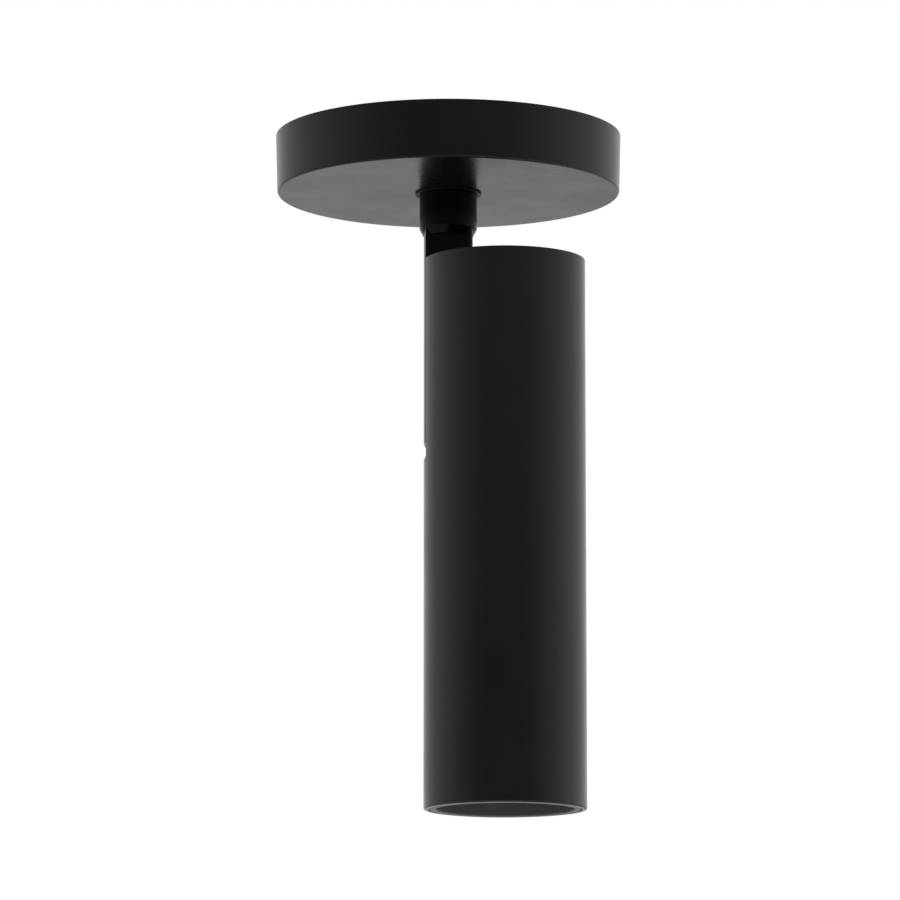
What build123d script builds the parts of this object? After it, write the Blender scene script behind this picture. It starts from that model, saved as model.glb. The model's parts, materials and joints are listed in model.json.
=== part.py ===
from build123d import *
from math import hypot
import os

# A surface mounted ceiling spotlight: a shallow round ceiling cup, a short round stem that turns
# in it, a flat-sided arm below the stem, and a slotted tube head that tilts on the arm's end.
#
# Millimetres. The origin is the centre of the ceiling face, +Z points up at the ceiling, and the
# whole light hangs below z = 0. +X points from the stem's axis to the tube's axis, so the slot
# that the arm leaves through is on the tube's -X side.

# ---- Ceiling cup ----
CUP_RADIUS = 60.0            # at the ceiling
CUP_HEIGHT = 20.0
CUP_DRAFT = 0.5              # the wall leans in by this much at its lower edge
CUP_WALL = 1.6
CUP_FLOOR = 2.0
CUP_EDGE_ROUND = 0.7
CUP_INNER_ROUND = 1.2

# ---- Mounting plate, screwed to the ceiling inside the cup ----
PLATE_THICKNESS = 1.5
PLATE_GAP = 0.9              # between the plate's rim and the cup's wall
CABLE_HOLE_RADIUS = 11.0
FIXING_SPACING = 72.0        # between the two ceiling screw slots
FIXING_SLOT_WIDTH = 4.6
FIXING_SLOT_LENGTH = 14.0
EAR_WIDTH = 12.0
EAR_DEPTH = 11.0
EAR_SETBACK = 1.0            # of an ear's outer face behind the plate's rim
CUP_SCREW_AZIMUTHS = (60.0, 120.0)   # both behind the cup, out of sight from the front
HOOK_AZIMUTH = 270.0
HOOK_WIDTH = 5.0
HOOK_THICKNESS = 1.6
HOOK_REACH = 4.5
HOOK_CLEARANCE = 0.3
SCREW_LINE_DROP = 7.0        # of the cup screws and the hook below the ceiling
OVERCUT = 4                  # a cutter through a wall is this many times its thickness long

# ---- Fasteners ----
M3_RADIUS = 1.5
M3_HEAD_RADIUS = 2.75
M3_HEAD_HEIGHT = 1.8
M4_RADIUS = 2.0
M4_HEAD_RADIUS = 3.8
M4_HEAD_HEIGHT = 2.2
SCREW_CLEARANCE = 0.2        # radial, where a screw passes a plain hole
THREAD_CLEARANCE = 0.03      # radial, where a screw is cut into its thread
DRIVE_RADIUS = 1.3           # hexagon recess in a screw head, across flats over two
DRIVE_DEPTH = 1.2
HEAD_EDGE = 0.4              # chamfer round a screw head
CUP_SCREW_LENGTH = 8.0

# ---- Stem, arm and swivel ----
STEM_RADIUS = 10.0
STEM_LENGTH = 12.3           # its straight round part below the bush
STEM_TAPER = 1.4
STEM_TAPER_HEIGHT = 2.6
SPIGOT_RADIUS = 5.0
SPIGOT_FLAT = 0.8            # depth of the flat that keys the stop washer
BUSH_FLANGE_RADIUS = 11.5
BUSH_FLANGE = 0.5
BUSH_BARREL_RADIUS = 7.0
RUNNING_CLEARANCE = 0.05     # radial, for what turns on a shaft
FRICTION_WASHER_RADIUS = 10.0
FRICTION_WASHER = 1.0
STOP_WASHER_RADIUS = 8.5
STOP_WASHER = 1.2
STOP_TAB_WIDTH = 3.0
STOP_TAB_OVERLAP = 1.5       # of the tab past the stop pin's centre
STOP_PIN_RADIUS = 1.25
STOP_PIN_CIRCLE = 20.0
STOP_PIN_AZIMUTH = 180.0
STOP_PIN_SEAT = 1.2          # depth of its blind hole in the cup's floor
STOP_PIN_RISE = 0.8          # of the pin above the stop washer
SPRING_WASHER_RADIUS = 8.0
SPRING_WASHER = 1.0
LOCKNUT_FLATS = 14.0
LOCKNUT_HEIGHT = 5.0
SPIGOT_PROUD = 1.0           # of the spigot above its nut

ARM_WIDTH = 12.5             # between its flat sides
ARM_DEPTH = 17.0             # from its outer face to its inner one
ARM_OUTER_ROUND = 0.7        # of its upright edges at the outer face
ARM_INNER_ROUND = 2.0        # of those inside the tube, which keeps them within the stem
ARM_NECK = 8.6               # of bare arm between the stem's foot and the tube's top end
ARM_END = 9.4                # below the tilt axis
ARM_END_ROUND = 2.0
ARM_WINDOW_HEIGHT = 13.0
ARM_WINDOW_MARGIN = 2.5      # below the leads that leave through it

# ---- Tube head ----
TUBE_RADIUS = 28.0
TUBE_WALL = 1.6
TUBE_LENGTH = 191.0
TUBE_MOUTH_ROUND = 0.6
SLOT_CLEARANCE = 0.3         # each side of the arm
SLOT_END_CLEARANCE = 4.6     # below the arm's end
SLOT_CORNER = 1.6
TILT_AXIS_DROP = 56.0        # below the tube's top end
FIT_CLEARANCE = 0.05         # radial, for discs pressed into the tube

CAP_RECESS = 0.6
CAP_THICKNESS = 3.0
CAP_NOTCH_CLEARANCE = 0.6    # behind the arm's inner face

RING_HEIGHT = 11.5
RING_WIDTH = 2.4
RING_CLEARANCE = 0.25
RING_EDGE = 0.4

# ---- Tilt hinge ----
FORK_SHEET = 1.2
FORK_BASE = 2.0
FORK_LEFT = 4.5              # of the tilt axis, towards the slot
FORK_GROMMET_GAP = 1.5       # between the fork's right edge and the grommet
FORK_CROWN = 5.0             # above the tilt axis
FORK_CROWN_ROUND = 4.0
FORK_FLOOR_CLEARANCE = 4.3   # under the arm's end as it swings
FORK_SCREW_SPACING = 9.0
FORK_SCREW_LENGTH = 5.0
HINGE_WASHER_RADIUS = 4.4
HINGE_WASHER = 0.5
HINGE_SPRING_WASHER = 0.65
HINGE_NUT_FLATS = 7.0
HINGE_NUT = 2.2              # a thin locknut
HINGE_NUT_TURN = 30.0        # degrees, so that a flat faces up

# ---- Carrier, lampholder and lamp ----
CARRIER_THICKNESS = 3.0
GROMMET_RADIUS = 4.8
GROMMET_FLANGE_RADIUS = 6.0
GROMMET_FLANGE = 0.9
EARTH_TAG_RADIUS = 3.6
EARTH_TAG = 0.8
EARTH_TONGUE_WIDTH = 4.0
EARTH_TONGUE_REACH = 6.2     # from the earth screw's centre, towards the leads
EARTH_TONGUE_GAP = 0.3       # between the tongue's end and the grommet
EARTH_SCREW_LENGTH = 5.0
STANDOFF_RADIUS = 3.0
STANDOFF_GAP = 0.5           # between each standoff and the grommet's flange
STANDOFF_SCREW_LENGTH = 8.0
HOLDER_RIM = 1.55            # outside the holes of its screws
HOLDER_FLAT = 9.5            # from the tube's axis to each flat side
HOLDER_HEIGHT = 21.0
HOLDER_COUNTERBORE_DEPTH = 15.0
HOLDER_SCREW_LENGTH = 11.0
KEYHOLE_SPACING = 10.0
KEYHOLE_RADIUS = 2.9
KEYHOLE_NECK_RADIUS = 1.8
KEYHOLE_TURN = 4.0           # length of the narrow end of each keyhole
KEYHOLE_DEPTH = 8.0
PIN_SHANK_RADIUS = 1.5
PIN_HEAD_RADIUS = 2.4
PIN_LENGTH = 7.0
PIN_HEAD = 3.0
LAMP_LENGTH = 47.2           # without its pins
LAMP_CLEARANCE = 1.4         # between the lamp's rim and the tube's bore
LAMP_RIM_HEIGHT = 3.0
LAMP_NECK_RADIUS = 11.0
LAMP_BASE_HEIGHT = 14.0
LAMP_BASE_TOP_RADIUS = 10.0
LAMP_SHELL = 1.2
LAMP_BULGE = 3.5             # of the reflector's curved side, out from its chord
LAMP_FACETS = 30             # in each ring of flat facets inside the reflector
LAMP_FACET_RINGS = 7
LAMP_GLASS = 1.6
LAMP_GLASS_CLEARANCE = 0.1
CAPSULE_RADIUS = 4.5
CAPSULE_HEIGHT = 16.0
CAPSULE_TIP_ROUND = 3.0

# ---- Terminal block and leads ----
TERMINAL_REACH = 31.0        # from the stem's axis to the block's middle
TERMINAL_DEPTH = 17.0
TERMINAL_PITCH = 10.0
TERMINAL_HEIGHT = 12.0
TERMINAL_WALL_ROUND = 1.0
TERMINAL_BORE_RADIUS = 1.6
TERMINAL_ENTRY_DROP = 6.5    # below the plate
TERMINAL_SCREW_SHIFT = 5.0   # sideways, between two poles
CLAMP_SCREW_RADIUS = 1.6
CLAMP_SCREW_HEIGHT = 4.0
LEAD_RADIUS = 0.95
LEAD_GAP = 0.2               # between two of the three leads side by side
LEAD_BORE_GAP = 0.2          # between the outer leads and the bore down the stem
LEAD_GROMMET_GAP = 0.15      # and the grommet's bore
LEAD_EXIT_RISE = 18.0        # of the leads' window above the tilt axis
LEAD_OFFSET = 1.5            # of the leads' drop from the tube's axis, away from the slot
LEAD_CREST_GAP = 0.95        # between the plate and the leads' highest stretch
LEAD_STRAIGHT = 0.3          # of straight lead above the spigot, before its first bend
LEAD_RUN_IN = 5.0            # of straight lead into the terminal block
LEAD_CREST_TURN = 5.7        # bend radii, in order from the terminal block
LEAD_ENTRY_TURN = 3.8
LEAD_WINDOW_STRAIGHT = 0.3   # of straight lead at the arm's window
EARTH_LEAD_TURN = 32.0
LEAD_SHIFT_TURN = 16.0
LEAD_SHIFT = 3.0             # away from the lampholder's middle, below the carrier
POLES = (-1, 0, 1)

# ---- Heights, worked down from the ceiling ----
PLATE_UNDER = -PLATE_THICKNESS
CUP_FLOOR_TOP = CUP_FLOOR - CUP_HEIGHT
STEM_TOP = -CUP_HEIGHT - BUSH_FLANGE
STEM_CORNER = STEM_TOP - STEM_LENGTH
STEM_FOOT = STEM_CORNER - STEM_TAPER_HEIGHT
TUBE_TOP = STEM_FOOT - ARM_NECK
TUBE_MOUTH = TUBE_TOP - TUBE_LENGTH
TILT_AXIS = TUBE_TOP - TILT_AXIS_DROP
ARM_FOOT = TILT_AXIS - ARM_END
SLOT_FOOT = ARM_FOOT - SLOT_END_CLEARANCE
LEAD_EXIT = TILT_AXIS + LEAD_EXIT_RISE

FRICTION_WASHER_TOP = CUP_FLOOR_TOP + FRICTION_WASHER
STOP_WASHER_TOP = FRICTION_WASHER_TOP + STOP_WASHER
SPRING_WASHER_TOP = STOP_WASHER_TOP + SPRING_WASHER
LOCKNUT_TOP = SPRING_WASHER_TOP + LOCKNUT_HEIGHT
SPIGOT_TOP = LOCKNUT_TOP + SPIGOT_PROUD

ARM_SWING = hypot(ARM_DEPTH / 2, ARM_END)
FORK_FLOOR = TILT_AXIS - ARM_SWING - FORK_FLOOR_CLEARANCE
CARRIER_TOP = FORK_FLOOR - FORK_BASE
CARRIER_UNDER = CARRIER_TOP - CARRIER_THICKNESS
LAMP_FRONT = TUBE_MOUTH + RING_HEIGHT
LAMP_RIM_TOP = LAMP_FRONT + LAMP_RIM_HEIGHT
LAMP_BACK = LAMP_FRONT + LAMP_LENGTH
HOLDER_TOP = LAMP_BACK + HOLDER_HEIGHT
LAMP_NECK = LAMP_BACK - LAMP_BASE_HEIGHT

# ---- Radii and offsets that follow ----
TUBE_OFFSET = TUBE_RADIUS - ARM_DEPTH / 2
TUBE_BORE = TUBE_RADIUS - TUBE_WALL
SLOT_WIDTH = ARM_WIDTH + 2 * SLOT_CLEARANCE
CUP_INNER_RADIUS = CUP_RADIUS - CUP_WALL
PLATE_RADIUS = CUP_INNER_RADIUS - PLATE_GAP
EAR_FACE = PLATE_RADIUS - EAR_SETBACK
BUSH_BORE = SPIGOT_RADIUS + RUNNING_CLEARANCE
WASHER_BORE = SPIGOT_RADIUS + SCREW_CLEARANCE
LAMP_RADIUS = TUBE_BORE - LAMP_CLEARANCE
RING_OUTER = TUBE_BORE - RING_CLEARANCE
RING_INNER = RING_OUTER - RING_WIDTH
CHEEK_INNER = ARM_WIDTH / 2 + HINGE_WASHER
CHEEK_OUTER = CHEEK_INNER + FORK_SHEET
LEAD_PITCH = 2 * LEAD_RADIUS + LEAD_GAP
LEAD_BORE_RADIUS = LEAD_PITCH + LEAD_RADIUS + LEAD_BORE_GAP
GROMMET_BORE = LEAD_PITCH + LEAD_RADIUS + LEAD_GROMMET_GAP
LEAD_REACH = TUBE_OFFSET + LEAD_OFFSET
LEAD_TURN = ARM_DEPTH / 2 - LEAD_WINDOW_STRAIGHT
FORK_RIGHT = LEAD_REACH - GROMMET_FLANGE_RADIUS - FORK_GROMMET_GAP
STANDOFF_REACH = GROMMET_FLANGE_RADIUS + STANDOFF_GAP + STANDOFF_RADIUS
HOLDER_RADIUS = STANDOFF_REACH + M3_HEAD_RADIUS + SCREW_CLEARANCE + HOLDER_RIM
EARTH_SCREW_REACH = LEAD_OFFSET + GROMMET_FLANGE_RADIUS + EARTH_TONGUE_GAP + EARTH_TONGUE_REACH

UP = (Align.CENTER, Align.CENTER, Align.MIN)


# ---- Small building blocks ----
def disc(radius, bottom, top):
    """An upright cylinder between two heights."""
    return Pos(0, 0, bottom) * Cylinder(radius, top - bottom, align=UP)


def collar(outer, inner, bottom, top):
    """An upright ring between two heights."""
    return disc(outer, bottom, top) - disc(inner, bottom, top)


def block(x0, x1, y0, y1, z0, z1):
    """A box between two corners."""
    middle = Pos((x0 + x1) / 2, (y0 + y1) / 2, (z0 + z1) / 2)
    return middle * Box(x1 - x0, y1 - y0, z1 - z0)


def turned(points):
    """A solid of revolution about Z from a closed outline of (radius, height) points."""
    return revolve(Plane.XZ * make_face(Polyline(*points, close=True)), Axis.Z)


def nut(flats, bore, height):
    """A hexagon nut standing on z = 0."""
    return extrude(RegularPolygon(flats / 2, 6, major_radius=False), height) - disc(bore, 0, height)


def screw(shank_radius, length, head_radius, head_height):
    """A socket screw pointing down from z = 0, with its head above that height."""
    head = disc(head_radius, 0, head_height)
    head = chamfer(head.edges().group_by(Axis.Z)[-1], HEAD_EDGE)
    drive = extrude(RegularPolygon(DRIVE_RADIUS, 6, major_radius=False), DRIVE_DEPTH)
    return head + disc(shank_radius, -length, 0) - Pos(0, 0, head_height - DRIVE_DEPTH) * drive


def m3(length):
    return screw(M3_RADIUS, length, M3_HEAD_RADIUS, M3_HEAD_HEIGHT)


def m4(length):
    return screw(M4_RADIUS, length, M4_HEAD_RADIUS, M4_HEAD_HEIGHT)


def lead(points, radii):
    """A round lead along straight runs joined by tangent arcs."""
    path = FilletPolyline(*points, radius=radii)
    section = Plane(origin=path @ 0, z_dir=path % 0) * Circle(LEAD_RADIUS)
    return sweep(section, path=path)


def radial(azimuth, reach, height):
    """A place on a circle about the stem's axis, with its X axis pointing outwards."""
    return Rot(0, 0, azimuth) * Pos(reach, 0, height)


def on_tube(x, y, z):
    """A place given from the tube's own axis."""
    return Pos(TUBE_OFFSET + x, y, z)


def save(name, *solids):
    shape = solids[0] if len(solids) == 1 else Compound(children=list(solids))
    shape.label = name
    export_step(shape, f"parts/{name}.step")


# ---- Ceiling cup and mounting plate ----
def make_cup():
    foot_radius = CUP_RADIUS - CUP_DRAFT
    shell = turned([
        (0, -CUP_HEIGHT), (foot_radius, -CUP_HEIGHT), (CUP_RADIUS, 0), (CUP_INNER_RADIUS, 0),
        (foot_radius - CUP_WALL, CUP_FLOOR_TOP), (0, CUP_FLOOR_TOP),
    ])
    floor_edges = shell.edges().filter_by(GeomType.CIRCLE).group_by(Axis.Z)
    shell = fillet(floor_edges[0], CUP_EDGE_ROUND)
    inner_edge = shell.edges().filter_by(GeomType.CIRCLE).filter_by(
        lambda e: abs(e.center().Z - CUP_FLOOR_TOP) < 0.01)
    shell = fillet(inner_edge, CUP_INNER_ROUND)
    shell -= disc(BUSH_BARREL_RADIUS + FIT_CLEARANCE, -CUP_HEIGHT, CUP_FLOOR_TOP)
    shell -= radial(STOP_PIN_AZIMUTH, STOP_PIN_CIRCLE, 0) * disc(
        STOP_PIN_RADIUS, CUP_FLOOR_TOP - STOP_PIN_SEAT, CUP_FLOOR_TOP)
    for azimuth in CUP_SCREW_AZIMUTHS:
        hole = Rot(0, 90, 0) * Cylinder(M4_RADIUS + SCREW_CLEARANCE, OVERCUT * CUP_WALL)
        shell -= radial(azimuth, CUP_RADIUS - CUP_WALL, -SCREW_LINE_DROP) * hole
    hook = Box(HOOK_REACH + CUP_WALL / 2, HOOK_WIDTH, HOOK_THICKNESS,
               align=(Align.MAX, Align.CENTER, Align.CENTER))
    return shell + radial(HOOK_AZIMUTH, CUP_INNER_RADIUS + CUP_WALL / 4, -SCREW_LINE_DROP) * hook


def make_ear(azimuth, cutter):
    """One tab bent down from the plate's rim, with a hole cut at the height of the cup's screws."""
    ear = block(EAR_FACE - PLATE_THICKNESS, EAR_FACE, -EAR_WIDTH / 2, EAR_WIDTH / 2, -EAR_DEPTH, 0)
    corners = ear.edges().filter_by(Axis.X).group_by(Axis.Z)[0]
    ear = fillet(corners, PLATE_THICKNESS)
    return radial(azimuth, 0, 0) * (ear - Pos(EAR_FACE, 0, -SCREW_LINE_DROP) * cutter)


def make_mounting_plate():
    plate = disc(PLATE_RADIUS, PLATE_UNDER, 0) - disc(CABLE_HOLE_RADIUS, PLATE_UNDER, 0)
    slot = Rot(0, 0, 90) * extrude(
        SlotOverall(FIXING_SLOT_LENGTH, FIXING_SLOT_WIDTH), PLATE_THICKNESS)
    for side in (-1, 1):
        plate -= Pos(0, side * FIXING_SPACING / 2, PLATE_UNDER) * slot
    thread = Rot(0, 90, 0) * Cylinder(M4_RADIUS + THREAD_CLEARANCE, OVERCUT * PLATE_THICKNESS)
    window = Box(OVERCUT * PLATE_THICKNESS, HOOK_WIDTH + 2 * HOOK_CLEARANCE,
                 HOOK_THICKNESS + 2 * HOOK_CLEARANCE)
    for azimuth in CUP_SCREW_AZIMUTHS:
        plate += make_ear(azimuth, thread)
    plate += make_ear(HOOK_AZIMUTH, window)
    return plate - terminal_screw_place() * disc(
        M3_RADIUS + THREAD_CLEARANCE, PLATE_UNDER, 0)


def make_cup_screws():
    head_top_drop = SCREW_LINE_DROP - M4_HEAD_RADIUS
    seat = CUP_RADIUS - CUP_DRAFT * head_top_drop / CUP_HEIGHT
    return [radial(azimuth, seat, -SCREW_LINE_DROP) * Rot(0, 90, 0) * m4(CUP_SCREW_LENGTH)
            for azimuth in CUP_SCREW_AZIMUTHS]


# ---- Swivel ----
def make_bush():
    return turned([
        (BUSH_BORE, STEM_TOP), (BUSH_FLANGE_RADIUS, STEM_TOP), (BUSH_FLANGE_RADIUS, -CUP_HEIGHT),
        (BUSH_BARREL_RADIUS, -CUP_HEIGHT), (BUSH_BARREL_RADIUS, CUP_FLOOR_TOP),
        (BUSH_BORE, CUP_FLOOR_TOP),
    ])


def spigot_section(clearance=0.0):
    """The round spigot with its one keying flat."""
    radius = SPIGOT_RADIUS + clearance
    flat = SPIGOT_RADIUS - SPIGOT_FLAT + clearance
    return Circle(radius) - Pos(flat + radius, 0) * Rectangle(2 * radius, 2 * radius)


def make_stem_arm():
    stem = disc(STEM_RADIUS, STEM_CORNER, STEM_TOP)
    taper = Pos(0, 0, STEM_FOOT) * Cone(
        STEM_RADIUS - STEM_TAPER, STEM_RADIUS, STEM_TAPER_HEIGHT, align=UP)
    half = ARM_DEPTH / 2
    section = Rectangle(ARM_DEPTH, ARM_WIDTH) & Pos(TUBE_OFFSET, 0) * Circle(TUBE_RADIUS)
    section = fillet(section.vertices().group_by(Axis.X)[-1], ARM_INNER_ROUND)
    section = fillet(section.vertices().group_by(Axis.X)[0], ARM_OUTER_ROUND)
    arm = Pos(0, 0, ARM_FOOT) * extrude(section, STEM_CORNER - ARM_FOOT)
    for side in (-1, 1):
        arm -= end_rounding(side * half)
    spigot = Pos(0, 0, STEM_TOP) * extrude(spigot_section(), SPIGOT_TOP - STEM_TOP)
    solid = stem + taper + arm + spigot
    solid -= disc(LEAD_BORE_RADIUS, LEAD_EXIT - ARM_WINDOW_MARGIN, SPIGOT_TOP)
    window_foot = LEAD_EXIT - ARM_WINDOW_MARGIN
    solid -= block(0, ARM_DEPTH, -LEAD_BORE_RADIUS, LEAD_BORE_RADIUS,
                   window_foot, window_foot + ARM_WINDOW_HEIGHT)
    hinge_hole = Rot(90, 0, 0) * Cylinder(M4_RADIUS + RUNNING_CLEARANCE, 2 * ARM_WIDTH)
    return solid - Pos(0, 0, TILT_AXIS) * hinge_hole


def end_rounding(face):
    """What is cut off the arm's lower end to round one of its corners."""
    inward = -1 if face > 0 else 1
    centre = face + inward * ARM_END_ROUND
    corner = block(min(face, centre), max(face, centre), -ARM_WIDTH, ARM_WIDTH,
                   ARM_FOOT, ARM_FOOT + ARM_END_ROUND)
    round_bar = Rot(90, 0, 0) * Cylinder(ARM_END_ROUND, 2 * ARM_WIDTH)
    return corner - Pos(centre, 0, ARM_FOOT + ARM_END_ROUND) * round_bar


def make_stop_washer():
    tab_end = STOP_PIN_CIRCLE + STOP_TAB_OVERLAP
    outline = Circle(STOP_WASHER_RADIUS) + Pos(tab_end / 2, 0) * Rectangle(tab_end, STOP_TAB_WIDTH)
    outline -= spigot_section(RUNNING_CLEARANCE)
    return Pos(0, 0, FRICTION_WASHER_TOP) * extrude(outline, STOP_WASHER)


def make_stop_pin():
    pin = disc(STOP_PIN_RADIUS, CUP_FLOOR_TOP - STOP_PIN_SEAT, STOP_WASHER_TOP + STOP_PIN_RISE)
    return radial(STOP_PIN_AZIMUTH, STOP_PIN_CIRCLE, 0) * pin


# ---- Tube head ----
def make_tube():
    tube = collar(TUBE_RADIUS, TUBE_BORE, TUBE_MOUTH, TUBE_TOP)
    outer_mouth = tube.edges().filter_by(GeomType.CIRCLE).group_by(Axis.Z)[0].sort_by(
        SortBy.RADIUS)[-1]
    tube = fillet(outer_mouth, TUBE_MOUTH_ROUND)
    slot = block(-TUBE_RADIUS - TUBE_WALL, 0, -SLOT_WIDTH / 2, SLOT_WIDTH / 2,
                 SLOT_FOOT, TUBE_TOP + TUBE_WALL)
    slot = fillet(slot.edges().filter_by(Axis.X).group_by(Axis.Z)[0], SLOT_CORNER)
    return on_tube(0, 0, 0) * (tube - slot)


def make_top_cap():
    top = TUBE_TOP - CAP_RECESS
    cap = on_tube(0, 0, 0) * disc(TUBE_BORE - FIT_CLEARANCE, top - CAP_THICKNESS, top)
    notch_end = ARM_DEPTH / 2 + CAP_NOTCH_CLEARANCE
    return cap - block(-ARM_DEPTH, notch_end, -SLOT_WIDTH / 2, SLOT_WIDTH / 2,
                       top - CAP_THICKNESS, top)


def make_mouth_ring():
    ring = collar(RING_OUTER, RING_INNER, TUBE_MOUTH, LAMP_FRONT)
    lower = ring.edges().filter_by(GeomType.CIRCLE).group_by(Axis.Z)[0]
    return on_tube(0, 0, 0) * chamfer(lower, RING_EDGE)


# ---- Tilt hinge ----
def make_fork():
    """A U of bent sheet: two cheeks either side of the arm on a base screwed to the carrier."""
    crown = TILT_AXIS + FORK_CROWN
    fork = block(-FORK_LEFT, FORK_RIGHT, -CHEEK_OUTER, CHEEK_OUTER, CARRIER_TOP, crown)
    fork -= block(-ARM_DEPTH, ARM_DEPTH, -CHEEK_INNER, CHEEK_INNER, FORK_FLOOR, crown)
    crown_corners = fork.edges().filter_by(Axis.Y).group_by(Axis.Z)[-1]
    fork = fillet(crown_corners, FORK_CROWN_ROUND)
    pin_hole = Rot(90, 0, 0) * Cylinder(M4_RADIUS + THREAD_CLEARANCE, OVERCUT * CHEEK_OUTER)
    fork -= Pos(0, 0, TILT_AXIS) * pin_hole
    for place in fork_screw_places():
        fork -= place * disc(M3_RADIUS + SCREW_CLEARANCE, -FORK_BASE, 0)
    return fork


def fork_screw_places():
    middle = (FORK_RIGHT - FORK_LEFT) / 2
    return [Pos(middle + side * FORK_SCREW_SPACING / 2, 0, FORK_FLOOR) for side in (-1, 1)]


def make_hinge_screw():
    nut_face = CHEEK_OUTER + HINGE_SPRING_WASHER + HINGE_NUT
    pin = m4(CHEEK_OUTER + nut_face)
    return Pos(0, -CHEEK_OUTER, TILT_AXIS) * Rot(90, 0, 0) * pin


def hinge_ring(radius, y0, y1):
    """A washer on the tilt axis between two distances along it."""
    ring = collar(radius, M4_RADIUS + RUNNING_CLEARANCE, y0, y1)
    return Pos(0, 0, TILT_AXIS) * Rot(-90, 0, 0) * ring


def make_hinge_nut():
    hexagon = Rot(0, 0, HINGE_NUT_TURN) * nut(
        HINGE_NUT_FLATS, M4_RADIUS + THREAD_CLEARANCE, HINGE_NUT)
    return Pos(0, CHEEK_OUTER + HINGE_SPRING_WASHER, TILT_AXIS) * Rot(-90, 0, 0) * hexagon


# ---- Carrier and lampholder ----
def make_carrier():
    plate = on_tube(0, 0, 0) * disc(TUBE_BORE - FIT_CLEARANCE, CARRIER_UNDER, CARRIER_TOP)
    for place in fork_screw_places():
        plate -= place * disc(M3_RADIUS + THREAD_CLEARANCE, -FORK_BASE - CARRIER_THICKNESS, 0)
    for side in (-1, 1):
        plate -= on_tube(0, side * STANDOFF_REACH, 0) * disc(
            M3_RADIUS + SCREW_CLEARANCE, CARRIER_UNDER, CARRIER_TOP)
    plate -= Pos(LEAD_REACH, 0, 0) * disc(GROMMET_RADIUS, CARRIER_UNDER, CARRIER_TOP)
    return plate - on_tube(EARTH_SCREW_REACH, 0, 0) * disc(
        M3_RADIUS + THREAD_CLEARANCE, CARRIER_UNDER, CARRIER_TOP)


def make_grommet():
    body = disc(GROMMET_RADIUS, CARRIER_UNDER, CARRIER_TOP)
    for foot in (CARRIER_TOP, CARRIER_UNDER - GROMMET_FLANGE):
        body += disc(GROMMET_FLANGE_RADIUS, foot, foot + GROMMET_FLANGE)
    bore = disc(GROMMET_BORE, CARRIER_UNDER - GROMMET_FLANGE, CARRIER_TOP + GROMMET_FLANGE)
    return Pos(LEAD_REACH, 0, 0) * (body - bore)


def make_earth_tag():
    outline = Circle(EARTH_TAG_RADIUS) + Pos(-EARTH_TONGUE_REACH / 2, 0) * Rectangle(
        EARTH_TONGUE_REACH, EARTH_TONGUE_WIDTH)
    outline -= Circle(M3_RADIUS + SCREW_CLEARANCE)
    return on_tube(EARTH_SCREW_REACH, 0, CARRIER_TOP) * extrude(outline, EARTH_TAG)


def make_standoffs():
    return [on_tube(0, side * STANDOFF_REACH, 0)
            * collar(STANDOFF_RADIUS, M3_RADIUS + THREAD_CLEARANCE, HOLDER_TOP, CARRIER_UNDER)
            for side in (-1, 1)]


def make_standoff_screws():
    return [on_tube(0, side * STANDOFF_REACH, CARRIER_TOP) * m3(STANDOFF_SCREW_LENGTH)
            for side in (-1, 1)]


def make_lampholder():
    section = Circle(HOLDER_RADIUS) & Rectangle(2 * HOLDER_FLAT, 2 * HOLDER_RADIUS)
    body = Pos(0, 0, LAMP_BACK) * extrude(section, HOLDER_HEIGHT)
    for side in (-1, 1):
        place = Pos(0, side * STANDOFF_REACH, 0)
        body -= place * disc(M3_RADIUS + SCREW_CLEARANCE, LAMP_BACK, HOLDER_TOP)
        body -= place * disc(M3_HEAD_RADIUS + SCREW_CLEARANCE, LAMP_BACK,
                             LAMP_BACK + HOLDER_COUNTERBORE_DEPTH)
        turn = Pos(0, -side * KEYHOLE_TURN / 2) * Rectangle(2 * KEYHOLE_NECK_RADIUS, KEYHOLE_TURN)
        keyhole = Circle(KEYHOLE_RADIUS) + turn + Pos(0, -side * KEYHOLE_TURN) * Circle(
            KEYHOLE_NECK_RADIUS)
        body -= Pos(side * KEYHOLE_SPACING / 2, 0, LAMP_BACK) * extrude(keyhole, KEYHOLE_DEPTH)
    return on_tube(0, 0, 0) * body


def make_holder_screws():
    head_seat = LAMP_BACK + HOLDER_COUNTERBORE_DEPTH
    return [on_tube(0, side * STANDOFF_REACH, head_seat) * Rot(180, 0, 0)
            * m3(HOLDER_SCREW_LENGTH) for side in (-1, 1)]


# ---- Lamp ----
def bowl_side(inset):
    """Points (radius, height) from the bowl's rim to its neck along an arc, moved in."""
    arc = SagittaArc((LAMP_RADIUS - inset, LAMP_RIM_TOP), (LAMP_NECK_RADIUS - inset, LAMP_NECK),
                     -LAMP_BULGE)
    points = [arc @ (ring / LAMP_FACET_RINGS) for ring in range(LAMP_FACET_RINGS + 1)]
    return [(point.X, point.Y) for point in points]


def make_reflector():
    """A bowl on a short round rim, with rings of flat facets inside."""
    bowl = turned([(0, LAMP_NECK), (0, LAMP_FRONT), (LAMP_RADIUS, LAMP_FRONT), *bowl_side(0)])
    bowl -= disc(LAMP_RADIUS - LAMP_SHELL, LAMP_FRONT, LAMP_RIM_TOP)
    rings = [Pos(0, 0, height) * RegularPolygon(radius, LAMP_FACETS)
             for radius, height in bowl_side(LAMP_SHELL)]
    return on_tube(0, 0, 0) * (bowl - loft(rings, ruled=True))


def make_lamp_glass():
    radius = LAMP_RADIUS - LAMP_SHELL - LAMP_GLASS_CLEARANCE
    return on_tube(0, 0, 0) * disc(radius, LAMP_FRONT, LAMP_FRONT + LAMP_GLASS)


def make_lamp_base():
    return on_tube(0, 0, 0) * turned([
        (0, LAMP_NECK), (LAMP_NECK_RADIUS, LAMP_NECK), (LAMP_BASE_TOP_RADIUS, LAMP_BACK),
        (0, LAMP_BACK),
    ])


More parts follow.
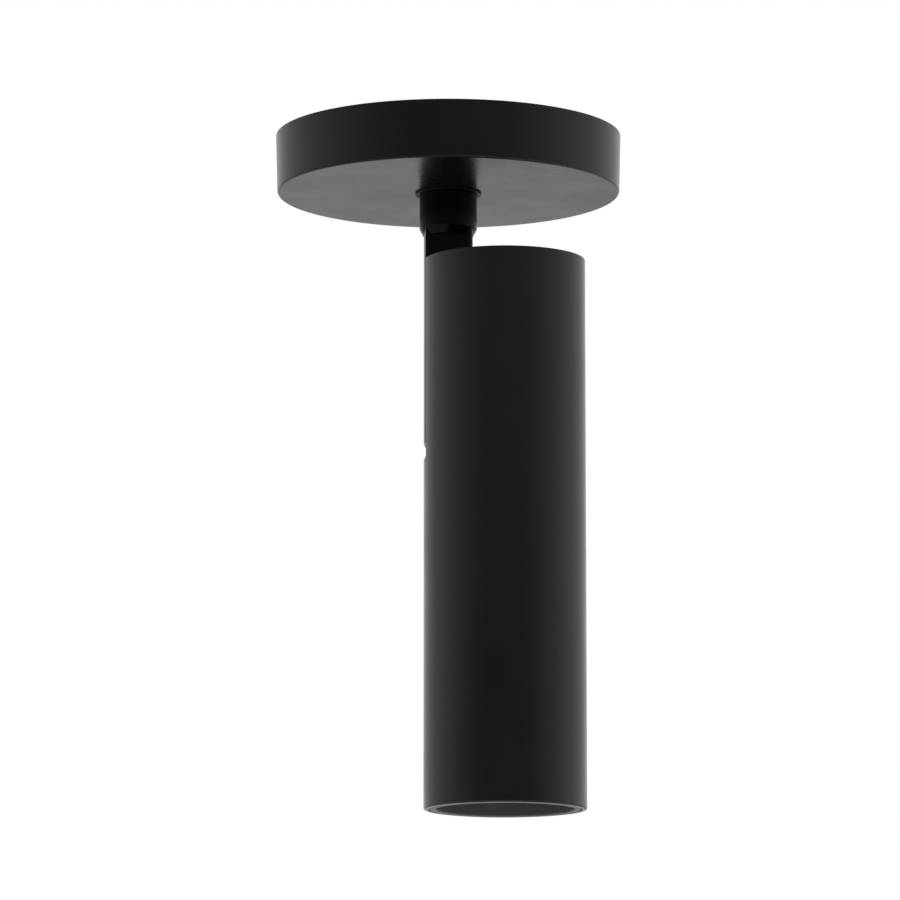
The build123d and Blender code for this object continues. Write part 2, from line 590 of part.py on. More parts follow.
def make_lamp_pins():
    pin = disc(PIN_SHANK_RADIUS, LAMP_BACK, LAMP_BACK + PIN_LENGTH)
    pin += disc(PIN_HEAD_RADIUS, LAMP_BACK + PIN_LENGTH - PIN_HEAD, LAMP_BACK + PIN_LENGTH)
    return [on_tube(side * KEYHOLE_SPACING / 2, 0, 0) * pin for side in (-1, 1)]


def make_capsule():
    body = disc(CAPSULE_RADIUS, LAMP_NECK - CAPSULE_HEIGHT, LAMP_NECK)
    tip = body.edges().group_by(Axis.Z)[0]
    return on_tube(0, 0, 0) * fillet(tip, CAPSULE_TIP_ROUND)


# ---- Terminal block and leads ----
def make_terminal_block():
    width = TERMINAL_PITCH * len(POLES)
    body = block(-TERMINAL_REACH - TERMINAL_DEPTH / 2, -TERMINAL_REACH + TERMINAL_DEPTH / 2,
                 -width / 2, width / 2, PLATE_UNDER - TERMINAL_HEIGHT, PLATE_UNDER)
    body = fillet(body.edges().filter_by(Axis.Z), TERMINAL_WALL_ROUND)
    entry = PLATE_UNDER - TERMINAL_ENTRY_DROP
    for pole in POLES:
        bore = Rot(0, 90, 0) * Cylinder(TERMINAL_BORE_RADIUS, TERMINAL_DEPTH / 2)
        for side in (-1, 1):
            x = -TERMINAL_REACH + side * TERMINAL_DEPTH / 2
            body -= Pos(x, pole * TERMINAL_PITCH, entry) * bore
    for place in clamp_screw_places():
        body -= place * disc(CLAMP_SCREW_RADIUS + FIT_CLEARANCE, 0, CLAMP_SCREW_HEIGHT)
    return body - terminal_screw_place() * disc(
        M3_RADIUS + SCREW_CLEARANCE, PLATE_UNDER - TERMINAL_HEIGHT, PLATE_UNDER)


def terminal_screw_place():
    """Where one screw holds the block to the plate, between two poles."""
    return Pos(-TERMINAL_REACH, TERMINAL_SCREW_SHIFT, 0)


def make_terminal_screw():
    upright = Pos(0, 0, PLATE_UNDER - TERMINAL_HEIGHT) * Rot(180, 0, 0)
    return terminal_screw_place() * upright * m3(TERMINAL_HEIGHT + PLATE_THICKNESS)


def clamp_screw_places():
    """Two clamping screws to each pole, reached from below."""
    foot = PLATE_UNDER - TERMINAL_HEIGHT
    return [Pos(-TERMINAL_REACH + side * TERMINAL_DEPTH / 4, pole * TERMINAL_PITCH, foot)
            for pole in POLES for side in (-1, 1)]


def cup_lead(pole):
    """From the spigot's open top, over and down into one pole of the terminal block."""
    y0 = pole * LEAD_PITCH
    y1 = pole * TERMINAL_PITCH
    entry_x = -TERMINAL_REACH + TERMINAL_DEPTH / 2
    entry_z = PLATE_UNDER - TERMINAL_ENTRY_DROP
    crest = PLATE_UNDER - LEAD_CREST_GAP - LEAD_RADIUS
    return lead(
        [(0, y0, SPIGOT_TOP), (0, y0, crest), (entry_x / 2, (y0 + y1) / 2, crest),
         (entry_x + LEAD_RUN_IN, y1, entry_z), (entry_x, y1, entry_z)],
        [crest - SPIGOT_TOP - LEAD_STRAIGHT, LEAD_CREST_TURN, LEAD_ENTRY_TURN])


def arm_lead(pole):
    """Down the bore of the spigot, stem and arm, and out through the arm's window."""
    y = pole * LEAD_PITCH
    return lead([(0, y, SPIGOT_TOP), (0, y, LEAD_EXIT), (ARM_DEPTH / 2, y, LEAD_EXIT)],
                [LEAD_TURN])


def tube_lead(pole):
    """From the arm's window down to the lampholder, or in the middle to the earth screw."""
    y = pole * LEAD_PITCH
    start = (ARM_DEPTH / 2, y, LEAD_EXIT)
    corner = (LEAD_REACH, y, LEAD_EXIT)
    if pole == 0:
        tag_top = CARRIER_TOP + EARTH_TAG
        tongue_middle = (M3_HEAD_RADIUS + EARTH_TONGUE_REACH) / 2
        end_x = TUBE_OFFSET + EARTH_SCREW_REACH - tongue_middle
        return lead([start, corner, (end_x, y, (LEAD_EXIT + tag_top) / 2), (end_x, y, tag_top)],
                    [LEAD_TURN, EARTH_LEAD_TURN])
    end_x = LEAD_REACH + LEAD_SHIFT
    bend_top = CARRIER_UNDER - GROMMET_FLANGE
    bend_foot = (bend_top + HOLDER_TOP) / 2
    return lead([start, corner, (LEAD_REACH, y, bend_top), (end_x, y, bend_foot),
                 (end_x, y, HOLDER_TOP)],
                [LEAD_TURN, LEAD_SHIFT_TURN, LEAD_SHIFT_TURN])


LEAD_NAMES = {-1: "live_lead", 0: "earth_lead", 1: "neutral_lead"}


def main():
    os.makedirs("parts", exist_ok=True)

    # held still by the ceiling
    save("mounting_plate", make_mounting_plate())
    save("canopy_cup", make_cup())
    save("canopy_screws", *make_cup_screws())
    save("swivel_bush", make_bush())
    save("stop_pin", make_stop_pin())
    save("friction_washer",
         collar(FRICTION_WASHER_RADIUS, WASHER_BORE, CUP_FLOOR_TOP, FRICTION_WASHER_TOP))
    save("terminal_block", make_terminal_block())
    clamp = disc(CLAMP_SCREW_RADIUS, 0, CLAMP_SCREW_HEIGHT)
    save("terminal_clamp_screws", *[place * clamp for place in clamp_screw_places()])
    save("terminal_fixing_screw", make_terminal_screw())

    # turns with the stem
    save("stem_arm", make_stem_arm())
    save("stop_washer", make_stop_washer())
    save("spring_washer",
         collar(SPRING_WASHER_RADIUS, WASHER_BORE, STOP_WASHER_TOP, SPRING_WASHER_TOP))
    save("swivel_locknut", Pos(0, 0, SPRING_WASHER_TOP)
         * nut(LOCKNUT_FLATS, SPIGOT_RADIUS + THREAD_CLEARANCE, LOCKNUT_HEIGHT))

    # tilts with the tube
    save("tube_body", make_tube())
    save("top_cap", make_top_cap())
    save("mouth_ring", make_mouth_ring())
    save("hinge_fork", make_fork())
    save("hinge_screw", make_hinge_screw())
    save("hinge_friction_washers",
         hinge_ring(HINGE_WASHER_RADIUS, -CHEEK_INNER, -ARM_WIDTH / 2),
         hinge_ring(HINGE_WASHER_RADIUS, ARM_WIDTH / 2, CHEEK_INNER))
    save("hinge_spring_washer",
         hinge_ring(HINGE_NUT_FLATS / 2, CHEEK_OUTER, CHEEK_OUTER + HINGE_SPRING_WASHER))
    save("hinge_locknut", make_hinge_nut())
    save("carrier_plate", make_carrier())
    save("fork_screws", *[place * m3(FORK_SCREW_LENGTH) for place in fork_screw_places()])
    save("lead_grommet", make_grommet())
    save("earth_tag", make_earth_tag())
    save("earth_screw", on_tube(EARTH_SCREW_REACH, 0, CARRIER_TOP + EARTH_TAG)
         * m3(EARTH_SCREW_LENGTH))
    save("standoffs", *make_standoffs())
    save("standoff_screws", *make_standoff_screws())
    save("lampholder", make_lampholder())
    save("lampholder_screws", *make_holder_screws())
    save("lamp_reflector", make_reflector())
    save("lamp_front_glass", make_lamp_glass())
    save("lamp_base", make_lamp_base())
    save("lamp_pins", *make_lamp_pins())
    save("lamp_capsule", make_capsule())

    for pole, name in LEAD_NAMES.items():
        save(f"canopy_{name}", cup_lead(pole))
        save(f"arm_{name}", arm_lead(pole))
        save(f"tube_{name}", tube_lead(pole))


main()
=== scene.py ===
import json
import math

import bmesh
import bpy
from mathutils import Euler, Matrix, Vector


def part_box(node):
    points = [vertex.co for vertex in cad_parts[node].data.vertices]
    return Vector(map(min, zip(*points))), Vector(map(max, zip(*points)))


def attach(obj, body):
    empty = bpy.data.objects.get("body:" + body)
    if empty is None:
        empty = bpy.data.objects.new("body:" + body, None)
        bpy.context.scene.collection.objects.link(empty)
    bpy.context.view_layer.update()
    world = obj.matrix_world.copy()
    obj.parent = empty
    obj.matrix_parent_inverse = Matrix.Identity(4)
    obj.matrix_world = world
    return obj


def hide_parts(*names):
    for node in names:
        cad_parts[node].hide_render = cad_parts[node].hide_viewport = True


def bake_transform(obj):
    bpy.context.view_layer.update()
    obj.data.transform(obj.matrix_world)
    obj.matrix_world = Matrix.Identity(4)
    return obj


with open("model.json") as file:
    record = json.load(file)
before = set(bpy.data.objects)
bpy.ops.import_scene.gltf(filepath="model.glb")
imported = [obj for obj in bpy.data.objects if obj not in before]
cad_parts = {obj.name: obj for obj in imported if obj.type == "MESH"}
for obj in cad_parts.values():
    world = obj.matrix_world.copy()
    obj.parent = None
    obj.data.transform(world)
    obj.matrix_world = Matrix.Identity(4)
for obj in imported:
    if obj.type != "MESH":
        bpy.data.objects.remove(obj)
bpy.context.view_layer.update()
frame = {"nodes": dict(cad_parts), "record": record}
scene = bpy.context.scene
scene.view_settings.view_transform = "Standard"
MM = 0.001

# ---- Camera: a long lens, below the light and looking slightly up at it ----
CAMERA_PLACE = (0.6 * MM, -1872.3 * MM, -419.1 * MM)
CAMERA_PITCH = 9.362          # degrees above level
CAMERA_LENS = 219.8           # millimetres
CAMERA_SENSOR = 36.0          # millimetres wide
CAMERA_REACH = 100.0          # metres, beyond which it shows nothing

# ---- Room ----
FLOOR_DROP = 2.4              # metres from the ceiling to the floor
FLOOR_HALF = 12.0             # metres from its middle to each side
FLOOR_TONES = (0.78, 0.82)    # between which its grey varies
SIDE_LIGHT = 0.57             # of the studio's pale walls beside the light
BACK_LIGHT = 0.72             # and behind it, where a strength of 1 would be white
SIDE_LEAN = 0.09              # how much brighter the right wall is than the mean of the two
DARK_LIGHT = 0.02             # of the dark side, behind the camera
DARK_SIDE_TOP = 0.50          # how far up and down the dark side reaches, as a slope
DARK_SIDE_EDGE = 0.85         # how far forward a wall lies before it is wholly dark
BACKDROP_EDGE = 0.98          # how far back a direction points to meet the white backdrop
BACKDROP_BLEND = 0.18         # how far before that the walls start to turn white
FLOOR_GLOW = 0.5              # what a camera ray sees on the floor besides its own colour

# ---- The lamp's quartz capsule, drawn hollow with its filament ----
CAPSULE_WALL = 0.7 * MM
CAPSULE_TIP_RISE = 3.6 * MM   # height of its rounded tip
CAPSULE_SIDES = 64
CAPSULE_TIP_STEPS = 14        # of its outline round the tip
FILAMENT_RADIUS = 0.55 * MM
FILAMENT_TURNS = 14
FILAMENT_TURN_STEPS = 16      # straight runs in each turn
FILAMENT_LENGTH = 5.0 * MM
FILAMENT_DROP = 6.5 * MM      # of its upper end below the lamp's neck
FILAMENT_WIRE = 0.09 * MM
SUPPORT_WIRE = 0.22 * MM
SUPPORT_REACH = 1.7 * MM      # of each support wire from the lamp's axis
WIRE_ROUNDNESS = 3            # bevel resolution of these wires
# how far past the coil's end each support wire starts to lean in, and how far past it stops
SHORT_BENDS = (1.4 * MM, 0.5 * MM)
LONG_BENDS = (0.4 * MM, 1.0 * MM)

# ---- Leads, cut into rings where they cross a joint ----
LEAD_CUT = 1.5 * MM           # between the rings of points that let a lead bend
LEAD_TWIST = 45.0 * MM        # of the stretch below the swivel that takes up its turn
LEAD_HELD = 3.0 * MM          # above the carrier, where the leads are the tube's again
SAME_PLACE = 0.005 * MM       # apart, at which two points of a lead count as one

# ---- Edges: where shading breaks, and how far it rounds ----
SHARP_ANGLE = math.radians(40)
COAT_EDGE = 0.25 * MM
METAL_EDGE = 0.12 * MM
EDGE_SAMPLES = 4
EDGE_STARTS = 0.985           # likeness of the rounded to the plain normal where wear starts
EDGE_WHOLE = 0.9              # and where it is at its most

# ---- Paint: how light its dust and its rubbed edges are ----
DUST_TONE = 0.03
RUBBED_TONE = 0.012

# ---- Earth leads ----
STRIPE_SIDE = (0.6, 0.5, 0.62)    # the side of a lead that its stripe runs along


# ---- Node trees by short calls ----
class Graph:
    """Adds nodes to one tree. An input may be a plain value or another node's output."""

    def __init__(self, tree):
        self.tree = tree

    def node(self, kind, inputs=None, **settings):
        made = self.tree.nodes.new(kind)
        for name, value in settings.items():
            setattr(made, name, value)
        for key, value in (inputs or {}).items():
            self.feed(made.inputs[key], value)
        return made

    def feed(self, socket, value):
        if isinstance(value, bpy.types.NodeSocket):
            self.tree.links.new(value, socket)
        else:
            socket.default_value = value

    def place(self):
        """The point on the object, in metres, which turns and tilts with its piece."""
        return self.node("ShaderNodeTexCoord").outputs["Object"]

    def noise(self, scale, detail=3.0, roughness=0.5):
        """Clouds from 0 to 1, with scale as their number in a metre."""
        made = self.node("ShaderNodeTexNoise", {
            "Vector": self.place(), "Scale": scale, "Detail": detail, "Roughness": roughness})
        return made.outputs[0]

    def cells(self, scale):
        """The distance from the middle of the nearest of scale cells in a metre."""
        made = self.node("ShaderNodeTexVoronoi", {"Vector": self.place(), "Scale": scale})
        return made.outputs["Distance"]

    def maths(self, operation, a, b=0.0):
        return self.node("ShaderNodeMath", {0: a, 1: b}, operation=operation).outputs[0]

    def ranged(self, value, low, high, to_low, to_high):
        """A value's stretch from low to high, as one from to_low to to_high, held beyond it."""
        made = self.node("ShaderNodeMapRange", {
            "Value": value, "From Min": low, "From Max": high, "To Min": to_low, "To Max": to_high})
        return made.outputs["Result"]

    def mix(self, share, a, b):
        made = self.node("ShaderNodeMix", data_type="RGBA")
        self.feed(made.inputs["Factor"], share)
        self.feed(made.inputs["A"], rgba(a))
        self.feed(made.inputs["B"], rgba(b))
        return made.outputs["Result"]

    def bump(self, height, depth, under=None):
        """A normal from a height of 0 to 1 over a depth in metres, on top of another normal."""
        made = self.node("ShaderNodeBump", {"Height": height, "Distance": depth})
        if under:
            self.feed(made.inputs["Normal"], under)
        return made.outputs[0]

    def edges(self, radius):
        """(rounded normal, how near an edge is from 0 to 1)."""
        rounded = self.node("ShaderNodeBevel", {"Radius": radius}, samples=EDGE_SAMPLES).outputs[0]
        plain = self.node("ShaderNodeNewGeometry").outputs["Normal"]
        likeness = self.dot(rounded, plain)
        return rounded, self.ranged(likeness, EDGE_STARTS, EDGE_WHOLE, 0.0, 1.0)

    def dot(self, a, b):
        return self.node("ShaderNodeVectorMath", {0: a, 1: b},
                         operation="DOT_PRODUCT").outputs["Value"]


def rgba(value):
    """A colour with its alpha, from a grey or from red, green and blue; a node's output as is."""
    if isinstance(value, bpy.types.NodeSocket):
        return value
    if isinstance(value, float):
        return (value, value, value, 1.0)
    return (*value, 1.0)


def material(name):
    """An empty material with one principled shader: (material, graph, shader)."""
    made = bpy.data.materials.new(name)
    made.use_nodes = True
    tree = made.node_tree
    tree.nodes.clear()
    graph = Graph(tree)
    shader = graph.node("ShaderNodeBsdfPrincipled")
    graph.node("ShaderNodeOutputMaterial", {"Surface": shader.outputs[0]})
    return made, graph, shader


# ---- Finishes ----
def black_coat(name, dark, pale, roughness, gloss=0.5):
    """A black coat of paint: a very fine orange peel, faint patches of sheen, a little dust,
    and edges that are soft and here and there rubbed."""
    made, graph, shader = material(name)
    shader.inputs["Specular IOR Level"].default_value = gloss
    rounded, near_edge = graph.edges(COAT_EDGE)
    patches = graph.noise(scale=38.0, roughness=0.55)
    specks = graph.noise(scale=2600.0, detail=1.0, roughness=0.4)
    coat = graph.mix(graph.ranged(specks, 0.70, 0.82, 0.0, 0.35),
                     graph.mix(patches, dark, pale), DUST_TONE)
    rubs = graph.ranged(graph.noise(scale=240.0, roughness=0.6), 0.42, 0.68, 0.0, 0.8)
    rubbed = graph.maths("MULTIPLY", near_edge, rubs)
    graph.feed(shader.inputs["Base Color"], graph.mix(rubbed, coat, RUBBED_TONE))
    low, high = roughness
    graph.feed(shader.inputs["Roughness"], graph.ranged(patches, 0.3, 0.7, low, high))
    peel = graph.bump(graph.noise(scale=700.0, detail=2.0), 0.012 * MM, under=rounded)
    grain = graph.noise(scale=4200.0, detail=1.0)
    graph.feed(shader.inputs["Normal"], graph.bump(grain, 0.003 * MM, under=peel))
    return made


def metal(name, pale, deep, roughness, tint=None):
    """A bare or plated metal: patches, a tinted blush, fine scuffs and small pits."""
    made, graph, shader = material(name)
    shader.inputs["Metallic"].default_value = 1.0
    patches = graph.noise(scale=90.0, detail=4.0, roughness=0.6)
    colour = graph.mix(graph.ranged(patches, 0.35, 0.65, 0.0, 1.0), pale, deep)
    if tint:
        blush = graph.noise(scale=46.0, detail=2.0)
        colour = graph.mix(graph.ranged(blush, 0.45, 0.75, 0.0, 0.5), colour, tint)
    graph.feed(shader.inputs["Base Color"], colour)
    scuffs = graph.noise(scale=2200.0, roughness=0.6)
    low, high = roughness
    graph.feed(shader.inputs["Roughness"], graph.ranged(scuffs, 0.3, 0.7, low, high))
    rounded, _ = graph.edges(METAL_EDGE)
    scuffed = graph.bump(scuffs, 0.006 * MM, under=rounded)
    pits = graph.ranged(graph.cells(scale=1500.0), 0.0, 0.12, 0.0, 1.0)
    graph.feed(shader.inputs["Normal"], graph.bump(pits, 0.004 * MM, under=scuffed))
    return made


def mould_skin(graph, shader, mottle, low, high):
    """The uneven sheen and the fine texture of a moulded surface."""
    graph.feed(shader.inputs["Roughness"], graph.ranged(mottle, 0.3, 0.7, low, high))
    skin = graph.noise(scale=1500.0, roughness=0.6)
    graph.feed(shader.inputs["Normal"], graph.bump(skin, 0.01 * MM))


def moulded(name, colour, roughness, worn=None):
    """A moulded plastic, rubber or pressed sheet: mottled colour, uneven sheen, fine texture."""
    made, graph, shader = material(name)
    mottle = graph.noise(scale=160.0, detail=4.0, roughness=0.6)
    darker = tuple(c * 0.72 for c in colour)
    tone = graph.mix(graph.ranged(mottle, 0.3, 0.7, 0.0, 1.0), darker, colour)
    if worn:
        rubbed = graph.ranged(graph.noise(scale=420.0, roughness=0.7), 0.6, 0.75, 0.0, 0.6)
        tone = graph.mix(rubbed, tone, worn)
    graph.feed(shader.inputs["Base Color"], tone)
    mould_skin(graph, shader, mottle, *roughness)
    return made


def earth_wire():
    """Green insulation with one yellow stripe along it, whichever way the wire runs."""
    made, graph, shader = material("green_yellow_wire")
    facing = graph.node("ShaderNodeTexCoord").outputs["Normal"]
    across = graph.dot(facing, STRIPE_SIDE)
    mottle = graph.noise(scale=160.0, detail=4.0, roughness=0.6)
    green = graph.mix(mottle, (0.02, 0.2, 0.03), (0.03, 0.27, 0.05))
    yellow = graph.mix(mottle, (0.6, 0.5, 0.03), (0.7, 0.6, 0.05))
    graph.feed(shader.inputs["Base Color"],
               graph.mix(graph.ranged(across, 0.16, 0.24, 0.0, 1.0), green, yellow))
    mould_skin(graph, shader, mottle, 0.4, 0.55)
    return made


def ceramic():
    """Unglazed steatite with a fine grain and faint stains."""
    made, graph, shader = material("steatite")
    grain = graph.noise(scale=900.0, detail=4.0, roughness=0.65)
    stain = graph.noise(scale=70.0)
    body = graph.mix(graph.ranged(grain, 0.3, 0.7, 0.0, 1.0),
                     (0.62, 0.6, 0.54), (0.74, 0.72, 0.66))
    graph.feed(shader.inputs["Base Color"],
               graph.mix(graph.ranged(stain, 0.55, 0.8, 0.0, 0.5), body, (0.5, 0.46, 0.38)))
    graph.feed(shader.inputs["Roughness"], graph.ranged(grain, 0.3, 0.7, 0.5, 0.68))
    graph.feed(shader.inputs["Normal"], graph.bump(grain, 0.03 * MM))
    return made


def mirror_coat():
    """The lamp's metallised bowl: bright, with a faint warm cast and fine pinholes."""
    made, graph, shader = material("metallised_bowl")
    shader.inputs["Metallic"].default_value = 1.0
    cast = graph.noise(scale=60.0, detail=2.0)
    holes = graph.ranged(graph.cells(scale=1300.0), 0.0, 0.05, 1.0, 0.0)
    silver = graph.mix(cast, (0.86, 0.87, 0.9), (0.9, 0.86, 0.8))
    graph.feed(shader.inputs["Base Color"], graph.mix(holes, silver, 0.3))
    graph.feed(shader.inputs["Roughness"], graph.ranged(cast, 0.3, 0.7, 0.08, 0.16))
    waves = graph.noise(scale=800.0, detail=2.0)
    graph.feed(shader.inputs["Normal"], graph.bump(waves, 0.006 * MM))
    return made


def clear_glass():
    """Clear glass with faint smears."""
    made, graph, shader = material("clear_glass")
    shader.inputs["Transmission Weight"].default_value = 1.0
    shader.inputs["IOR"].default_value = 1.5
    smears = graph.noise(scale=120.0, roughness=0.6)
    graph.feed(shader.inputs["Base Color"],
               graph.mix(smears, (0.95, 0.97, 0.97), (0.9, 0.94, 0.94)))
    graph.feed(shader.inputs["Roughness"], graph.ranged(smears, 0.45, 0.8, 0.0, 0.08))
    waves = graph.noise(scale=300.0, detail=2.0)
    graph.feed(shader.inputs["Normal"], graph.bump(waves, 0.004 * MM))
    return made


# what each of the record's material slots looks like
FINISHES = {
    "black_paint": black_coat("satin_black_coat", 0.0018, 0.0032, (0.22, 0.29), gloss=0.58),
    "zinc_steel": metal("zinc_plate", (0.6, 0.6, 0.58), (0.5, 0.5, 0.5), (0.28, 0.42),
                        tint=(0.52, 0.52, 0.44)),
    "bare_aluminium": metal("turned_aluminium", (0.72, 0.73, 0.74), (0.62, 0.63, 0.65),
                            (0.25, 0.4)),
    "brass": metal("plain_brass", (0.74, 0.56, 0.27), (0.6, 0.43, 0.19), (0.25, 0.42)),
    "fibre": moulded("pressed_fibre", (0.3, 0.1, 0.05), (0.6, 0.75), worn=(0.16, 0.05, 0.03)),
    "white_nylon": moulded("white_nylon", (0.7, 0.69, 0.64), (0.38, 0.5)),
    "silicone": moulded("silicone", (0.22, 0.05, 0.03), (0.45, 0.6)),
    "ceramic": ceramic(),
    "reflector": mirror_coat(),
    "clear_glass": clear_glass(),
    "nickel": metal("nickel_plate", (0.62, 0.6, 0.56), (0.5, 0.48, 0.45), (0.18, 0.3)),
    "brown_wire": moulded("brown_wire", (0.12, 0.045, 0.02), (0.4, 0.55)),
    "blue_wire": moulded("blue_wire", (0.015, 0.06, 0.28), (0.4, 0.55)),
    "green_yellow_wire": earth_wire(),
}

# copies of the black paint, darker or paler than the tube's, with light and shade painted into
# their tones: painted shade on the stem, cup and bush, painted light in the mouth ring
PAINTED_LIGHT_AND_SHADE_COATS = {
    # stem and arm: a darker, less glossy copy of the black paint; its darkness is painted shade
    "stem_arm": black_coat("painted_shade_stem_coat", 0.0003, 0.0007, (0.2, 0.28), gloss=0.18),
    # mouth ring: a matte copy of the black paint, made much paler; partly a duller coat of its own,
    # partly painted light from below inside the mouth
    "mouth_ring": black_coat("matte_coat_with_painted_light", 0.115, 0.14, (0.36, 0.44)),
    # canopy cup: a darker copy of the black paint; its darkness is painted shade on the underside
    # round the stem
    "canopy_cup": black_coat("painted_shade_cup_coat", 0.0012, 0.0024, (0.25, 0.32), gloss=0.45),
    # bush flange: a darker, duller copy of the black paint; painted shadow for the dark shadow line
    # round the flange
    "swivel_bush": black_coat("painted_shadow_bush_coat", 0.001, 0.002, (0.45, 0.55), gloss=0.3),
}

RECORD_SLOTS = {part["node"]: part["material_slot"] for part in frame["record"]["subparts"]}


def dress_cad_nodes():
    """Gives every node of the frame the finish that its record slot names, or its copy of the black
    paint with painted light or shade.
    """
    for name, node in frame["nodes"].items():
        node.data.materials.clear()
        node.data.materials.append(PAINTED_LIGHT_AND_SHADE_COATS.get(name, FINISHES[RECORD_SLOTS[name]]))


# ---- Pieces ----
def add_mesh(name, built, finish):
    """Makes an object of a finished bmesh, shaded smooth between its sharp edges."""
    mesh = bpy.data.meshes.new(name)
    built.to_mesh(mesh)
    built.free()
    mesh.shade_smooth()
    mesh.set_sharp_from_angle(angle=SHARP_ANGLE)
    mesh.materials.append(finish)
    made = bpy.data.objects.new(name, mesh)
    scene.collection.objects.link(made)
    return made


# ---- The lamp's capsule ----
def add_wire(name, points, radius):
    """A round nickel wire of the lamp along straight runs, as a curve."""
    curve = bpy.data.curves.new(name, "CURVE")
    curve.dimensions = "3D"
    curve.bevel_depth = radius
    curve.bevel_resolution = WIRE_ROUNDNESS
    curve.use_fill_caps = True
    spline = curve.splines.new("POLY")
    spline.points.add(len(points) - 1)
    for point, place in zip(spline.points, points):
        point.co = (*place, 1.0)
    curve.materials.append(FINISHES["nickel"])
    made = bpy.data.objects.new(name, curve)
    scene.collection.objects.link(made)
    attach(made, "tube_head")


def capsule_outline(radius, top, foot):
    """(radius, height) points down a straight side and round an elliptic tip."""
    points = [(radius, top)]
    for step in range(CAPSULE_TIP_STEPS + 1):
        turn = math.radians(90 * step / CAPSULE_TIP_STEPS)
        points.append((radius * math.cos(turn), foot + CAPSULE_TIP_RISE * (1 - math.sin(turn))))
    return points


def add_wall(built, x, y, outline):
    """Turns one outline about the lamp's axis, down to its tip. Returns its upper ring."""
    turns = [2 * math.pi * side / CAPSULE_SIDES for side in range(CAPSULE_SIDES)]
    rings = []
    for r, z in outline[:-1]:
        rings.append([built.verts.new((x + r * math.cos(turn), y + r * math.sin(turn), z))
                      for turn in turns])
    tip = built.verts.new((x, y, outline[-1][1]))
    for side in range(CAPSULE_SIDES):
        after = (side + 1) % CAPSULE_SIDES
        for above, below in zip(rings, rings[1:]):
            built.faces.new((above[side], below[side], below[after], above[after]))
        built.faces.new((rings[-1][side], tip, rings[-1][after]))
    return rings[0]


def make_glass(x, y, radius, top, foot):
    """The capsule's quartz wall, in place of the solid one."""
    built = bmesh.new()
    outer = add_wall(built, x, y, capsule_outline(radius, top, foot))
    inner = add_wall(built, x, y,
                     capsule_outline(radius - CAPSULE_WALL, top, foot + CAPSULE_WALL))
    for side in range(CAPSULE_SIDES):
        after = (side + 1) % CAPSULE_SIDES
        built.faces.new((outer[side], outer[after], inner[after], inner[side]))
    bmesh.ops.recalc_face_normals(built, faces=built.faces)
    glass = add_mesh("capsule_glass", built, FINISHES["clear_glass"])
    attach(glass, "tube_head")
    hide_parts("lamp_capsule")


def make_filament(x, y, neck):
    """The coiled filament and the two wires from the lamp's neck that carry its ends."""
    top = neck - FILAMENT_DROP
    foot = top - FILAMENT_LENGTH
    steps = FILAMENT_TURN_STEPS * FILAMENT_TURNS
    coil = []
    for step in range(steps + 1):
        turn = 2 * math.pi * FILAMENT_TURNS * step / steps
        coil.append((x + FILAMENT_RADIUS * math.cos(turn), y + FILAMENT_RADIUS * math.sin(turn),
                     top - FILAMENT_LENGTH * step / steps))
    add_wire("filament_coil", coil, FILAMENT_WIRE)
    near, far = x - SUPPORT_REACH, x + SUPPORT_REACH
    leans, ends = SHORT_BENDS
    short = [(near, y, neck), (near, y, top + leans), (x, y, top + ends), coil[0]]
    add_wire("filament_support_short", short, SUPPORT_WIRE)
    leans, ends = LONG_BENDS
    long = [(far, y, neck), (far, y, foot - leans),
            (x + SUPPORT_REACH / 2, y, foot - ends), coil[-1]]
    add_wire("filament_support_long", long, SUPPORT_WIRE)


def make_capsule():
    """A hollow capsule with its filament, where the frame has a solid one."""
    low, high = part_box("lamp_capsule")
    x, y = (low.x + high.x) / 2, (low.y + high.y) / 2
    make_glass(x, y, (high.x - low.x) / 2, high.z, low.z)
    make_filament(x, y, high.z)


# ---- Leads ----
def bend_lead(node, start, end):
    """A copy of a lead in its place, with rings of points cut across it from start to end; the lead
    itself is hidden.
    """
    built = bmesh.new()
    built.from_mesh(frame["nodes"][node].data)
    across = end - start
    cuts = math.ceil(across.length / LEAD_CUT)
    for cut in range(1, cuts):
        bmesh.ops.bisect_plane(built, geom=[*built.verts, *built.edges, *built.faces],
                               plane_co=start + across * (cut / cuts), plane_no=across,
                               dist=SAME_PLACE)
    bmesh.ops.dissolve_degenerate(built, dist=SAME_PLACE, edges=built.edges)
    slot = RECORD_SLOTS[node]
    lead = add_mesh(f"{node}_flexible", built, FINISHES[slot])
    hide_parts(node)
    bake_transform(lead)


def make_leads():
    """Cuts rings of points into the arm's leads below the swivel, and into the tube's beside the
    tilt hinge.
    """
    carrier_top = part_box("carrier_plate")[1].z
    for pole in ("live", "earth", "neutral"):
        node = f"arm_{pole}_lead"
        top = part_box(node)[1].z
        bend_lead(node,
                  Vector((0, 0, top)), Vector((0, 0, top - LEAD_TWIST)))
        node = f"tube_{pole}_lead"
        low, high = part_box(node)
        bend_lead(node,
                  Vector((low.x, 0, high.z)), Vector((high.x, 0, carrier_top + LEAD_HELD)))


# ---- Studio ----
def make_camera():
    """The photo's view, fitted to the outlines in it."""
    data = bpy.data.cameras.new("camera")
    data.lens = CAMERA_LENS
    data.sensor_width = CAMERA_SENSOR
    data.clip_end = CAMERA_REACH
    camera = bpy.data.objects.new("camera", data)
    camera.location = CAMERA_PLACE
    camera.rotation_euler = Euler((math.radians(90 + CAMERA_PITCH), 0, 0))
    scene.collection.objects.link(camera)
    scene.camera = camera


